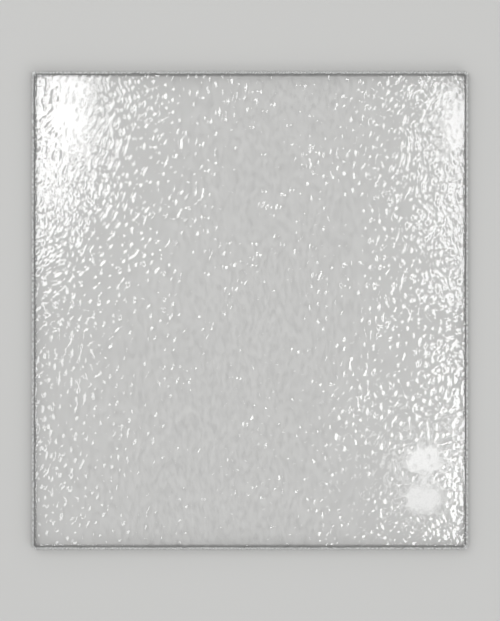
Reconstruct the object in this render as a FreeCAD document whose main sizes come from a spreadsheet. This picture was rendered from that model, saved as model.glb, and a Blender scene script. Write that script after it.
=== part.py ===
import FreeCAD, Part
import math
import os
import Sketcher

# One pane of clear rolled patterned glass, lying flat on a level surface.
# X runs across the pane, Y up its height and Z through its thickness.
# The origin is on the underside, at the middle of the pane. Sizes are in millimetres.

DRIVING_SIZES = [
    # alias, value, what it is
    ("pane_width", 274.0, "across the pane, along X"),
    ("pane_height", 300.0, "up the pane, along Y"),
    ("pane_thickness", 6.0, "from face to face, along Z"),
    ("arris_width", 1.4, "of the ground arris, seen square to a face"),
    ("arris_depth", 1.4, "of the ground arris, seen square to an edge"),
    ("upper_corner_radius", 1.0, "of the outline, at the +Y corners"),
    ("lower_corner_radius", 2.8, "of the outline, at the -Y corners"),
    ("upper_face_radius", 2.0, "of each face inside its arris, at the +Y corners"),
    ("lower_face_radius", 2.4, "of each face inside its arris, at the -Y corners"),
]

PANE_NODE = "glass_pane"
PARTS_FOLDER = "parts"

# The ends of a line or arc, and the sketch's own origin, as Sketcher counts them.
START, END = 1, 2
SKETCH_ORIGIN = (-1, 1)


def make_sheet(doc):
    """The spreadsheet that drives the pane: a note, a value and an alias on each row."""
    sheet = doc.addObject("Spreadsheet::Sheet", "Sizes")
    for row, (alias, value, note) in enumerate(DRIVING_SIZES, start=1):
        sheet.set("A%d" % row, note)
        sheet.set("B%d" % row, str(value))
        sheet.setAlias("B%d" % row, alias)
    doc.recompute()


def origin_plane(body, role):
    """One of the body's own origin planes, found by its role."""
    return next(plane for plane in body.Origin.OriginFeatures if plane.Role == role)


def arc_about(centre_x, centre_y, radius, start_quadrant):
    """A quarter circle, anticlockwise through one quadrant about its centre."""
    circle = Part.Circle(FreeCAD.Vector(centre_x, centre_y, 0), FreeCAD.Vector(0, 0, 1), radius)
    start = start_quadrant * math.pi / 2
    return Part.ArcOfCircle(circle, start, start + math.pi / 2)


def line_between(x1, y1, x2, y2):
    """A straight side of the outline."""
    return Part.LineSegment(FreeCAD.Vector(x1, y1, 0), FreeCAD.Vector(x2, y2, 0))


def add_outline(body, name, level, width, height, upper_radius, lower_radius):
    """A rounded rectangle about the origin, in a sketch at a level above the XY plane.

    Every size is an expression on the sheet. The sketch is drawn at its solved size, and then
    its constraints hold it there and follow the sheet.
    """
    sketch = body.newObject("Sketcher::SketchObject", name)
    sketch.AttachmentSupport = [(origin_plane(body, "XY_Plane"), "")]
    sketch.MapMode = "FlatFace"
    sketch.setExpression(".AttachmentOffset.Base.z", level)

    half_width = "(%s) / 2" % width
    half_height = "(%s) / 2" % height
    x, y, up, low = [
        float(sketch.evalExpression(size))
        for size in (half_width, half_height, upper_radius, lower_radius)
    ]

    # Anticlockwise from the -Y side, each side followed by the corner that ends it.
    sketch.addGeometry([
        line_between(low - x, -y, x - low, -y),
        arc_about(x - low, low - y, low, 3),
        line_between(x, low - y, x, y - up),
        arc_about(x - up, y - up, up, 0),
        line_between(x - up, y, up - x, y),
        arc_about(up - x, y - up, up, 1),
        line_between(-x, y - up, -x, low - y),
        arc_about(low - x, low - y, low, 2),
    ], False)
    lower_side, lower_right, right_side, upper_right = 0, 1, 2, 3
    upper_side, upper_left, left_side, lower_left = 4, 5, 6, 7

    for piece in range(8):
        following = (piece + 1) % 8
        sketch.addConstraint(Sketcher.Constraint("Tangent", piece, END, following, START))
    for side in (lower_side, upper_side):
        sketch.addConstraint(Sketcher.Constraint("Horizontal", side))
    for side in (left_side, right_side):
        sketch.addConstraint(Sketcher.Constraint("Vertical", side))

    dimensions = [
        # name, constraint, expression
        ("right_reach", ("DistanceX", *SKETCH_ORIGIN, right_side, START, x), half_width),
        ("left_reach", ("DistanceX", left_side, START, *SKETCH_ORIGIN, x), half_width),
        ("upper_reach", ("DistanceY", *SKETCH_ORIGIN, upper_side, START, y), half_height),
        ("lower_reach", ("DistanceY", lower_side, START, *SKETCH_ORIGIN, y), half_height),
        ("upper_right_radius", ("Radius", upper_right, up), upper_radius),
        ("upper_left_radius", ("Radius", upper_left, up), upper_radius),
        ("lower_left_radius", ("Radius", lower_left, low), lower_radius),
        ("lower_right_radius", ("Radius", lower_right, low), lower_radius),
    ]
    for dimension, constraint, expression in dimensions:
        index = sketch.addConstraint(Sketcher.Constraint(*constraint))
        sketch.renameConstraint(index, dimension)
        sketch.setExpression("Constraints." + dimension, expression)
    return sketch


def make_pane(doc):
    """The pane: one body, lofted straight from face to edge to edge to face.

    The two outer spans are the ground arrises and the middle one is the flat of the edge.
    """
    body = doc.addObject("PartDesign::Body", "GlassPane")
    body.Label = PANE_NODE
    body.Placement = FreeCAD.Placement()

    face_sizes = (
        "Sizes.pane_width - 2 * Sizes.arris_width",
        "Sizes.pane_height - 2 * Sizes.arris_width",
        "Sizes.upper_face_radius",
        "Sizes.lower_face_radius",
    )
    edge_sizes = (
        "Sizes.pane_width",
        "Sizes.pane_height",
        "Sizes.upper_corner_radius",
        "Sizes.lower_corner_radius",
    )
    outlines = [
        add_outline(body, "UnderFace", "0", *face_sizes),
        add_outline(body, "EdgeFoot", "Sizes.arris_depth", *edge_sizes),
        add_outline(body, "EdgeHead", "Sizes.pane_thickness - Sizes.arris_depth", *edge_sizes),
        add_outline(body, "UpperFace", "Sizes.pane_thickness", *face_sizes),
    ]
    loft = body.newObject("PartDesign::AdditiveLoft", "PaneLoft")
    loft.Profile = outlines[0]
    loft.Sections = outlines[1:]
    loft.Ruled = True
    loft.Closed = False
    body.Tip = loft
    return body


def check(doc, bodies):
    """Stop if any object failed to compute, or a body is not one sound solid."""
    for item in doc.Objects:
        if "Invalid" in item.State or "Error" in item.State:
            raise RuntimeError("%s did not compute: %s" % (item.Label, item.State))
    for body in bodies:
        if body.Shape.isNull() or not body.Shape.isValid() or len(body.Shape.Solids) != 1:
            raise RuntimeError("%s is not one sound solid" % body.Label)


def main():
    doc = FreeCAD.newDocument("PatternedGlassPane")
    make_sheet(doc)
    bodies = [make_pane(doc)]
    doc.recompute()
    check(doc, bodies)

    os.makedirs(PARTS_FOLDER, exist_ok=True)
    for body in bodies:
        body.Shape.exportStep(os.path.join(PARTS_FOLDER, body.Label + ".step"))
        box = body.Shape.BoundBox
        print("%s: %.2f x %.2f x %.2f mm, %.1f cm3" % (
            body.Label, box.XLength, box.YLength, box.ZLength, body.Shape.Volume / 1000.0))


main()
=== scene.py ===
import math

import bpy
import numpy as np
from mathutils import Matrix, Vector


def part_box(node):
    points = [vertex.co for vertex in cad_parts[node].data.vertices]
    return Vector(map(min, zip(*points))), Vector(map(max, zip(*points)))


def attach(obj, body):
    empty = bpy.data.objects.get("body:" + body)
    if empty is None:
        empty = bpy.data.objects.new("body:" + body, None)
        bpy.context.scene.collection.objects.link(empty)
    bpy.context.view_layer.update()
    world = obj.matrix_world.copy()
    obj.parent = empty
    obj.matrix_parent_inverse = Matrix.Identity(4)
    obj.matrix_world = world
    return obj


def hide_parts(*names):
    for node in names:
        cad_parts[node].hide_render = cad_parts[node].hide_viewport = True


# A pane of clear rolled glass that lies flat on a pale floor. Its upper face carries the
# rolled relief, flat crests between soft hollows, and its underside is smooth. The mesh is
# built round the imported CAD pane: same outline, same arris, same thickness.

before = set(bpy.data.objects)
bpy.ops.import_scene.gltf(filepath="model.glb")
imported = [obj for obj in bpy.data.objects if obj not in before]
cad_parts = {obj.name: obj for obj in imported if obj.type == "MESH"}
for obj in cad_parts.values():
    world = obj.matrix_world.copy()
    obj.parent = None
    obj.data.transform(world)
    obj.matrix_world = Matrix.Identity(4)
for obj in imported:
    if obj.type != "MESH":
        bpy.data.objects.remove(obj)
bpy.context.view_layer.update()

MM = 0.001
NODE = "glass_pane"

# ---------------------------------------------------------------- sizes, from the CAD node

low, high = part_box(NODE)
WIDTH = high.x - low.x
HEIGHT = high.y - low.y
THICKNESS = high.z - low.z
FACE_LEVEL = 1e-6  # how near its extreme a CAD vertex counts as lying on a face

cad_points = np.array([v.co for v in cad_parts[NODE].data.vertices])
on_upper_face = cad_points[:, 2] > high.z - FACE_LEVEL
on_right_edge = cad_points[:, 0] > high.x - FACE_LEVEL
ARRIS_WIDTH = high.x - cad_points[on_upper_face, 0].max()
ARRIS_DEPTH = high.z - cad_points[on_right_edge, 2].max()

# corner radii: (two upper corners, two lower corners)
OUTLINE_RADII = (1.0 * MM, 2.8 * MM)
FACE_RADII = (2.0 * MM, 2.4 * MM)

# ---------------------------------------------------------------- mesh and relief settings

COLUMNS = 268  # cells of the relief grid across the face
ROWS = 292  # and up it
COARSE = 4  # the smooth underside's cells are this many relief cells wide
ARRIS_ROUNDING = 0.12  # share of the arris taken up by each of its softened borders
RIM_BAND = 1.7 * MM  # strip along the underside's rim with a painted dark line of shade under it, standing in for light bent away

SEED = 11
PAD = 32  # relief cells computed past each side of the face, then cut off
RIPPLE_PITCH = 4.8 * MM
RIPPLE_SPREAD = 0.27
RIPPLE_STRETCH = 1.35
RIPPLE_LEAN = math.radians(22)
RIPPLE_DEPTH = 0.12 * MM  # hollow depth for one standard deviation of the noise
CREST_LEVEL = -0.1  # noise level, in standard deviations, above which a hollow starts
CREST_SOFTNESS = 0.28
CALM_PITCH = 60 * MM  # the slow drift between livelier and calmer places
CALM_SPREAD = 0.4
CALM_AMOUNT = 0.30  # standard deviations of the noise level
SWELL_PITCH = 14 * MM  # the low waves under the hollows
SWELL_SPREAD = 0.4
SWELL_STRETCH = 1.2
SWELL_LEAN = math.radians(10)
SWELL_SLOPE = 0.006
ZONE_STEEPNESS = 0.7  # how sharply a zone ends at its reach
STILL_LEVEL = 3.4  # a zone whose level is raised this much has no swell either
FOCUS_BLUR = 0.8 * MM
FOCUS_LIMIT = 2.5  # standard deviations

# Places where the sheet came out of the rollers smoother, or livelier where the last number
# is negative: (centre x, centre y, reach in x, reach in y, how far the level is raised).
CALM_ZONES = (
    (-0.107, 0.118, 0.0115, 0.032, 1.3),
    (-0.1300, 0.112, 0.0066, 0.030, -1.6),
    (-0.112, 0.070, 0.024, 0.026, -0.6),
    (0.128, 0.075, 0.022, 0.060, -0.5),
    (0.126, 0.120, 0.008, 0.022, 1.4),
    (0.1095, -0.0935, 0.0125, 0.0100, 3.0),
    (0.1095, -0.1180, 0.0125, 0.0095, 3.0),
)

# share of a lamp's light that each surface lets straight through
FACE_CLEAR = 0.99
FOCUS_AMOUNT = 0.30  # how much the relief gathers or spreads it
PAINTED_MOTTLE = (0.88, 1.03)  # least and most that a painted streaky mottle of light and shade multiplies it by
PAINTED_MOTTLE_NOISE = (0.3, 0.6)  # noise values that give those
PAINTED_MOTTLE_PITCH = 2.6 * MM
PAINTED_MOTTLE_STRETCH = 2.2
PAINTED_MOTTLE_DISTORTION = 0.8
ARRIS_CLEAR = 0.90
BORDER_CLEAR = 0.15  # at the pane's outermost line: painted shade, a dark outline on the floor under it
RIM_CLEAR = 0.10  # on the strip along the underside's rim: painted shade, a dark line on the floor under it

GLASS_IOR = 1.52


def band_noise(rng, shape, step, pitch, spread, stretch=1.0, lean=0.0):
    """Smooth random field of unit slope, filtered to a band about one pitch."""
    rows, cols = shape
    fy = np.fft.fftfreq(rows, step)[:, None]
    fx = np.fft.fftfreq(cols, step)[None, :]
    along = fx * math.sin(lean) + fy * math.cos(lean)
    across = fx * math.cos(lean) - fy * math.sin(lean)
    frequency = np.hypot(along * stretch, across)
    frequency[0, 0] = 1e-9
    band = np.exp(-0.5 * (np.log(frequency * pitch) / spread) ** 2)
    field = np.fft.ifft2(np.fft.fft2(rng.standard_normal(shape)) * band).real
    gy, gx = np.gradient(field, step)
    return field / math.sqrt((gx ** 2 + gy ** 2).mean() / 2)


def calm_level(rng, shape, step):
    """Noise level at which hollows start, in standard deviations, and the share of swell left."""
    calm = band_noise(rng, shape, step, CALM_PITCH, CALM_SPREAD)
    level = CREST_LEVEL + CALM_AMOUNT * calm / calm.std()
    rows, cols = np.indices(shape)
    x = (cols - shape[1] / 2) * step
    y = (rows - shape[0] / 2) * step
    swell_left = np.ones(shape)
    for cx, cy, reach_x, reach_y, more in CALM_ZONES:
        distance = ((x - cx) / reach_x) ** 2 + ((y - cy) / reach_y) ** 2
        zone = np.exp(-ZONE_STEEPNESS * distance ** 2)
        level += more * zone
        swell_left *= 1 - zone * np.clip(more / STILL_LEVEL, 0, 1)
    return level, swell_left


def relief(shape, step):
    """Depth below the flat crests, and how strongly each place gathers light (about -1 to 1)."""
    rng = np.random.default_rng(SEED)
    big = (shape[0] + 2 * PAD, shape[1] + 2 * PAD)
    cells = band_noise(rng, big, step, RIPPLE_PITCH, RIPPLE_SPREAD, RIPPLE_STRETCH, RIPPLE_LEAN)
    cells /= cells.std()
    level, swell_left = calm_level(rng, big, step)
    swell = band_noise(rng, big, step, SWELL_PITCH, SWELL_SPREAD, SWELL_STRETCH, SWELL_LEAN)
    swell *= swell_left

    hollow = np.logaddexp(0, (cells - level) / CREST_SOFTNESS) * CREST_SOFTNESS
    depth = RIPPLE_DEPTH * hollow + SWELL_SLOPE * swell
    depth -= depth.min()

    gy, gx = np.gradient(depth, step)
    bend = np.gradient(gy, step, axis=0) + np.gradient(gx, step, axis=1)
    fy = np.fft.fftfreq(big[0], step)[:, None]
    fx = np.fft.fftfreq(big[1], step)[None, :]
    blur = np.exp(-2 * (math.pi * FOCUS_BLUR) ** 2 * (fx ** 2 + fy ** 2))
    bend = np.fft.ifft2(np.fft.fft2(bend) * blur).real
    focus = np.clip(bend / bend.std(), -FOCUS_LIMIT, FOCUS_LIMIT) / FOCUS_LIMIT
    inner = slice(PAD, -PAD)
    return depth[inner, inner], focus[inner, inner]


# ---------------------------------------------------------------- pane mesh

def round_corners(x, y, half_w, half_h, radii):
    """Moves points of a rectangle so that its corners follow round arcs."""
    x, y = x.copy(), y.copy()
    for side in (-1, 1):
        for up, radius in ((1, radii[0]), (-1, radii[1])):
            u = (x * side - (half_w - radius)) / radius
            v = (y * up - (half_h - radius)) / radius
            corner = (u > 0) & (v > 0)
            u, v = np.clip(u, 0, None), np.clip(v, 0, None)
            ru = u * np.sqrt(np.clip(1 - v ** 2 / 2, 0, None))
            rv = v * np.sqrt(np.clip(1 - u ** 2 / 2, 0, None))
            x = np.where(corner, side * (half_w - radius + ru * radius), x)
            y = np.where(corner, up * (half_h - radius + rv * radius), y)
    return x, y


def rim_cells(cols, rows):
    """(column, row) of each point round a grid's rim, anticlockwise from the lower left."""
    rim = [(i, 0) for i in range(cols)]
    rim += [(cols, j) for j in range(rows)]
    rim += [(i, rows) for i in range(cols, 0, -1)]
    rim += [(0, j) for j in range(rows, 0, -1)]
    return rim


RIM = rim_cells(COLUMNS, ROWS)


def outline(inset, radii):
    """x and y of the rim points on the pane's outline moved in by inset."""
    half_w, half_h = WIDTH / 2 - inset, HEIGHT / 2 - inset
    x = np.array([-half_w + 2 * half_w * i / COLUMNS for i, j in RIM])
    y = np.array([-half_h + 2 * half_h * j / ROWS for i, j in RIM])
    return np.stack(round_corners(x, y, half_w, half_h, radii), -1)


def arris_ring(down, upper):
    """Rim points part of the way down an arris: 0 at the face, 1 at the side."""
    share = np.broadcast_to(down, len(RIM))[:, None]
    xy = outline(ARRIS_WIDTH, FACE_RADII) * (1 - share) + outline(0, OUTLINE_RADII) * share
    drop = share * ARRIS_DEPTH
    return np.hstack([xy, high.z - drop if upper else low.z + drop])


class PaneMesh:
    """Vertices, faces, material numbers and light_through values of the mesh being built."""

    def __init__(self):
        self.points, self.faces, self.materials, self.light = [], [], [], []
        self.count = 0

    def add_points(self, points, light):
        first = self.count
        self.points.append(np.asarray(points))
        self.light.append(np.broadcast_to(light, len(points)))
        self.count += len(points)
        return list(range(first, self.count))

    def add_face(self, corners, material):
        self.faces.append(tuple(corners))
        self.materials.append(material)

    def join_rings(self, upper, lower, material):
        for k in range(len(upper)):
            m = (k + 1) % len(upper)
            self.add_face((upper[k], lower[k], lower[m], upper[m]), material)


FACE, EDGE = 0, 1


def add_relief_face(mesh):
    """Grid over the upper face. Its rim points lie on the arris, as deep as the relief there."""
    half_w, half_h = WIDTH / 2 - ARRIS_WIDTH, HEIGHT / 2 - ARRIS_WIDTH
    depth, focus = relief((ROWS + 1, COLUMNS + 1), 2 * half_w / COLUMNS)
    across = np.linspace(-half_w, half_w, COLUMNS + 1)
    up = np.linspace(-half_h, half_h, ROWS + 1)
    x, y = np.meshgrid(across, up)
    x, y = round_corners(x, y, half_w, half_h, FACE_RADII)
    points = np.stack([x, y, high.z - depth], -1)
    rim_i, rim_j = np.array(RIM).T
    down = depth[rim_j, rim_i] / ARRIS_DEPTH
    points[rim_j, rim_i] = arris_ring(down, True)
    # light_through on the relief face: painted caustics, the floor under the pane lit more where
    # the relief would gather light and less where it would spread it.
    mesh.add_points(points.reshape(-1, 3), (FACE_CLEAR * (1 + FOCUS_AMOUNT * focus)).ravel())

    index = np.arange(points.shape[0] * points.shape[1]).reshape(points.shape[:2])
    cells = np.stack([index[:-1, :-1], index[:-1, 1:], index[1:, 1:], index[1:, :-1]], -1)
    for corners in cells.reshape(-1, 4).tolist():
        mesh.add_face(corners, FACE)
    return index[rim_j, rim_i].tolist(), down


def add_edge(mesh, rim, down):
    """Arris, side and lower arris, then the underside's rim. Gives the rim of what is left."""
    soft = ARRIS_ROUNDING
    side_top = high.z - ARRIS_DEPTH * (1 + soft)
    side_foot = low.z + ARRIS_DEPTH * (1 + soft)
    side = outline(0, OUTLINE_RADII)
    inner = outline(ARRIS_WIDTH + RIM_BAND, FACE_RADII)
    # The low light_through values on the border rings and the underside's rim paint dark lines of
    # shade on the floor under the edge.
    rings = (
        (arris_ring(down + (1 - down) * soft, True), ARRIS_CLEAR, EDGE),
        (arris_ring(1 - soft * (1 - down), True), BORDER_CLEAR, EDGE),
        (np.insert(side, 2, side_top, axis=1), BORDER_CLEAR, EDGE),
        (np.insert(side, 2, side_foot, axis=1), BORDER_CLEAR, EDGE),
        (arris_ring(1 - soft, False), BORDER_CLEAR, EDGE),
        (arris_ring(soft, False), ARRIS_CLEAR, EDGE),
        (arris_ring(0, False), RIM_CLEAR, EDGE),
        (np.insert(inner, 2, low.z, axis=1), FACE_CLEAR, FACE),
    )
    for points, light, material in rings:
        ring = mesh.add_points(points, light)
        mesh.join_rings(rim, ring, material)
        rim = ring
    return rim


def add_underside(mesh, rim):
    """Smooth face of coarse cells, whose outer ones take in all the rim's points."""
    half_w, half_h = WIDTH / 2 - ARRIS_WIDTH - RIM_BAND, HEIGHT / 2 - ARRIS_WIDTH - RIM_BAND
    cols, rows = COLUMNS // COARSE, ROWS // COARSE
    x = np.linspace(-half_w, half_w, cols + 1)
    y = np.linspace(-half_h, half_h, rows + 1)
    inside = [(i, j) for j in range(1, rows) for i in range(1, cols)]
    numbers = mesh.add_points([(x[i], y[j], low.z) for i, j in inside], FACE_CLEAR)
    at = {(i * COARSE, j * COARSE): n for (i, j), n in zip(inside, numbers)}
    at.update(zip(RIM, rim))
    between = range(1, COARSE)
    for j in range(0, ROWS, COARSE):
        for i in range(0, COLUMNS, COARSE):
            right, top = i + COARSE, j + COARSE
            cell = [(i, j)] + [(i + k, j) for k in between]
            cell += [(right, j)] + [(right, j + k) for k in between]
            cell += [(right, top)] + [(right - k, top) for k in between]
            cell += [(i, top)] + [(i, top - k) for k in between]
            mesh.add_face([at[c] for c in reversed(cell) if c in at], FACE)


def build_pane(name):
    mesh = PaneMesh()
    rim, down = add_relief_face(mesh)
    rim = add_edge(mesh, rim, down)
    add_underside(mesh, rim)

    data = bpy.data.meshes.new(name)
    data.from_pydata(np.concatenate(mesh.points).tolist(), [], mesh.faces)
    data.polygons.foreach_set("material_index", mesh.materials)
    data.polygons.foreach_set("use_smooth", [True] * len(mesh.faces))
    light = data.attributes.new("light_through", "FLOAT", "POINT")
    light.data.foreach_set("value", np.concatenate(mesh.light))
    data.update()
    pane = bpy.data.objects.new(name, data)
    bpy.context.scene.collection.objects.link(pane)
    return pane


# ---------------------------------------------------------------- materials

def new_material(name):
    material = bpy.data.materials.new(name)
    material.use_nodes = True
    return material, material.node_tree.nodes, material.node_tree.links


def glass(name, colour, transmission, roughness, grain, bump_height):
    """Glass with a fine grain. Lamps shine straight through it, by the mesh's light_through
    (painted caustics and painted dark edge lines) times a painted streaky mottle, which together
    paint light and shade onto the floor below.
    """
    material, nodes, links = new_material(name)
    surface = nodes["Principled BSDF"]
    surface.inputs["Base Color"].default_value = (*colour, 1)
    surface.inputs["Transmission Weight"].default_value = transmission
    surface.inputs["IOR"].default_value = GLASS_IOR

    coords = nodes.new("ShaderNodeTexCoord")
    noise = nodes.new("ShaderNodeTexNoise")
    noise.inputs["Scale"].default_value = 1 / grain
    noise.inputs["Detail"].default_value = 3.0
    links.new(coords.outputs["Object"], noise.inputs["Vector"])
    rough = nodes.new("ShaderNodeMapRange")
    rough.inputs["To Min"].default_value = roughness[0]
    rough.inputs["To Max"].default_value = roughness[1]
    links.new(noise.outputs["Fac"], rough.inputs["Value"])
    links.new(rough.outputs["Result"], surface.inputs["Roughness"])
    bump = nodes.new("ShaderNodeBump")
    bump.inputs["Distance"].default_value = bump_height
    links.new(noise.outputs["Fac"], bump.inputs["Height"])
    links.new(bump.outputs["Normal"], surface.inputs["Normal"])

    through = nodes.new("ShaderNodeAttribute")
    through.attribute_name = "light_through"
    # Painted light and shade: a streaky noise multiplies the light that reaches the floor under
    # the pane.
    lean = nodes.new("ShaderNodeMapping")
    lean.inputs["Rotation"].default_value = (0, 0, RIPPLE_LEAN)
    lean.inputs["Scale"].default_value = (1, 1 / PAINTED_MOTTLE_STRETCH, 1)
    links.new(coords.outputs["Object"], lean.inputs["Vector"])
    painted_mottle_noise = nodes.new("ShaderNodeTexNoise")
    painted_mottle_noise.inputs["Scale"].default_value = 1 / PAINTED_MOTTLE_PITCH
    painted_mottle_noise.inputs["Detail"].default_value = 2.0
    painted_mottle_noise.inputs["Distortion"].default_value = PAINTED_MOTTLE_DISTORTION
    links.new(lean.outputs["Vector"], painted_mottle_noise.inputs["Vector"])
    painted_mottle = nodes.new("ShaderNodeMapRange")
    painted_mottle.inputs["From Min"].default_value = PAINTED_MOTTLE_NOISE[0]
    painted_mottle.inputs["From Max"].default_value = PAINTED_MOTTLE_NOISE[1]
    painted_mottle.inputs["To Min"].default_value = PAINTED_MOTTLE[0]
    painted_mottle.inputs["To Max"].default_value = PAINTED_MOTTLE[1]
    links.new(painted_mottle_noise.outputs["Fac"], painted_mottle.inputs["Value"])
    share = nodes.new("ShaderNodeMath")
    share.operation = "MULTIPLY"
    links.new(through.outputs["Fac"], share.inputs[0])
    links.new(painted_mottle.outputs["Result"], share.inputs[1])
    clear = nodes.new("ShaderNodeBsdfTransparent")
    links.new(share.outputs["Value"], clear.inputs["Color"])

    # Shadow rays and the floor's bounced light go straight through, so the glass casts no
    # solid shadow. All other rays see the glass itself.
    path = nodes.new("ShaderNodeLightPath")
    straight = nodes.new("ShaderNodeMath")
    straight.operation = "MAXIMUM"
    links.new(path.outputs["Is Shadow Ray"], straight.inputs[0])
    links.new(path.outputs["Is Diffuse Ray"], straight.inputs[1])
    mix = nodes.new("ShaderNodeMixShader")
    links.new(straight.outputs["Value"], mix.inputs["Fac"])
    links.new(surface.outputs["BSDF"], mix.inputs[1])
    links.new(clear.outputs["BSDF"], mix.inputs[2])
    links.new(mix.outputs["Shader"], nodes["Material Output"].inputs["Surface"])
    return material


pane = build_pane("rippled_glass_pane")
for settings in (
    # name, colour, transmission, roughness range, grain, bump height
    ("rolled_glass", (1, 1, 1), 1.0, (0.0, 0.03), 1.6 * MM, 0.004 * MM),
    ("ground_edge", (0.95, 0.97, 0.96), 0.65, (0.15, 0.40), 1.1 * MM, 0.04 * MM),
):
    pane.data.materials.append(glass(*settings))
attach(pane, "root")
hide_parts(NODE)

# ---------------------------------------------------------------- stage

FLOOR_COLOUR = (0.58, 0.58, 0.57)
FLOOR_SIZE = 30
FLOOR_GAP = 0.2 * MM  # air under the pane, so that its underside still mirrors and bends light
WORLD_STRENGTH = (0.76, 0.50)  # at the horizon and overhead
HORIZON_COLOUR = (0.341, 0.341, 0.335)  # what the camera sees behind the floor
SOFTBOXES = (
    # name, its mirror image on the pane in x and in y, radiance
    ("left_core", (-0.21, -0.140), (0.040, 0.200), 12),
    ("left_high", (-0.140, -0.099), (0.082, 0.200), 6.2),
    ("left_middle", (-0.140, -0.124), (0.050, 0.082), 3.5),
    ("right_core", (0.142, 0.200), (0.000, 0.145), 10),
    ("right_high", (0.1195, 0.142), (0.098, 0.145), 5),
    ("right_middle", (0.127, 0.142), (0.020, 0.098), 2.8),
    ("lower_left", (-0.26, -0.17), (-0.14, 0.01), 7),
    ("lower_right", (0.150, 0.23), (-0.15, -0.02), 13),
    ("low_border", (0.1265, 0.142), (-0.108, -0.070), 4.5),
    ("low_high_spot", (0.0965, 0.1205), (-0.104, -0.083), 4.0),
    ("low_low_spot", (0.0965, 0.1205), (-0.127, -0.109), 3.2),
)

CAMERA_DISTANCE = 1.25
LAMP_HEIGHT = 1.25
PANE_SHARE = 0.770  # of the frame's height
FRAME_ASPECT = 500 / 621
SENSOR_WIDTH = 36.0  # mm

scene = bpy.context.scene

bpy.ops.mesh.primitive_plane_add(size=FLOOR_SIZE, location=(0, 0, -FLOOR_GAP))
floor = bpy.context.object
floor.name = "floor"
floor_material, floor_nodes, _ = new_material("floor")
matte = floor_nodes["Principled BSDF"].inputs
matte["Base Color"].default_value = (*FLOOR_COLOUR, 1)
matte["Roughness"].default_value = 1.0
matte["Specular IOR Level"].default_value = 0.0
floor.data.materials.append(floor_material)


def studio_world():
    """Soft white light from all round, brighter low down; the camera sees a plain pale grey."""
    world = bpy.data.worlds.new("studio")
    world.use_nodes = True
    nodes, links = world.node_tree.nodes, world.node_tree.links
    light = nodes["Background"]
    light.inputs["Color"].default_value = (1, 1, 1, 1)
    coords = nodes.new("ShaderNodeTexCoord")
    axes = nodes.new("ShaderNodeSeparateXYZ")
    links.new(coords.outputs["Generated"], axes.inputs["Vector"])
    rise = nodes.new("ShaderNodeMapRange")
    rise.inputs["To Min"].default_value = WORLD_STRENGTH[0]
    rise.inputs["To Max"].default_value = WORLD_STRENGTH[1]
    links.new(axes.outputs["Z"], rise.inputs["Value"])
    links.new(rise.outputs["Result"], light.inputs["Strength"])
    seen = nodes.new("ShaderNodeBackground")
    seen.inputs["Color"].default_value = (*HORIZON_COLOUR, 1)
    path = nodes.new("ShaderNodeLightPath")
    mix = nodes.new("ShaderNodeMixShader")
    links.new(path.outputs["Is Camera Ray"], mix.inputs["Fac"])
    links.new(light.outputs["Background"], mix.inputs[1])
    links.new(seen.outputs["Background"], mix.inputs[2])
    links.new(mix.outputs["Shader"], nodes["World Output"].inputs["Surface"])
    bpy.context.scene.world = world


def add_lamp(name, size, radiance, location, aim):
    data = bpy.data.lights.new(name, "AREA")
    data.shape = "RECTANGLE"
    data.size, data.size_y = size
    data.energy = radiance * math.pi * size[0] * size[1]
    lamp = bpy.data.objects.new(name, data)
    lamp.location = location
    lamp.rotation_euler = (Vector(aim) - Vector(location)).to_track_quat("-Z", "Y").to_euler()
    lamp.visible_camera = False
    bpy.context.scene.collection.objects.link(lamp)


def softbox(name, x_range, y_range, radiance):
    """Rectangular lamp overhead, placed by where its mirror image falls on the flat pane."""
    spread = (CAMERA_DISTANCE + LAMP_HEIGHT) / CAMERA_DISTANCE
    (left, right), (bottom, top) = x_range, y_range
    x, y = (left + right) / 2 * spread, (bottom + top) / 2 * spread
    size = ((right - left) * spread, (top - bottom) * spread)
    add_lamp(name, size, radiance, (x, y, THICKNESS + LAMP_HEIGHT), (x, y, 0))


studio_world()
for settings in SOFTBOXES:
    softbox(*settings)
add_lamp("back_panel", (1.3, 0.5), 3.5, (-1.45, 1.45, 1.75), (0, 0, 0))
add_lamp("front_panel", (1.3, 0.5), 4.0, (1.6, -1.6, 1.4), (0, 0, 0))

camera_data = bpy.data.cameras.new("camera")
camera_data.sensor_width = SENSOR_WIDTH
camera_data.sensor_fit = "HORIZONTAL"
frame_width = HEIGHT / PANE_SHARE * FRAME_ASPECT
camera_data.lens = SENSOR_WIDTH * CAMERA_DISTANCE / frame_width
camera = bpy.data.objects.new("camera", camera_data)
camera.location = (0, 0, THICKNESS + CAMERA_DISTANCE)
scene.collection.objects.link(camera)
bpy.context.scene.camera = camera

scene.view_settings.view_transform = "Standard"
scene.cycles.sample_clamp_indirect = 0.0
scene.cycles.caustics_refractive = False
scene.cycles.caustics_reflective = False
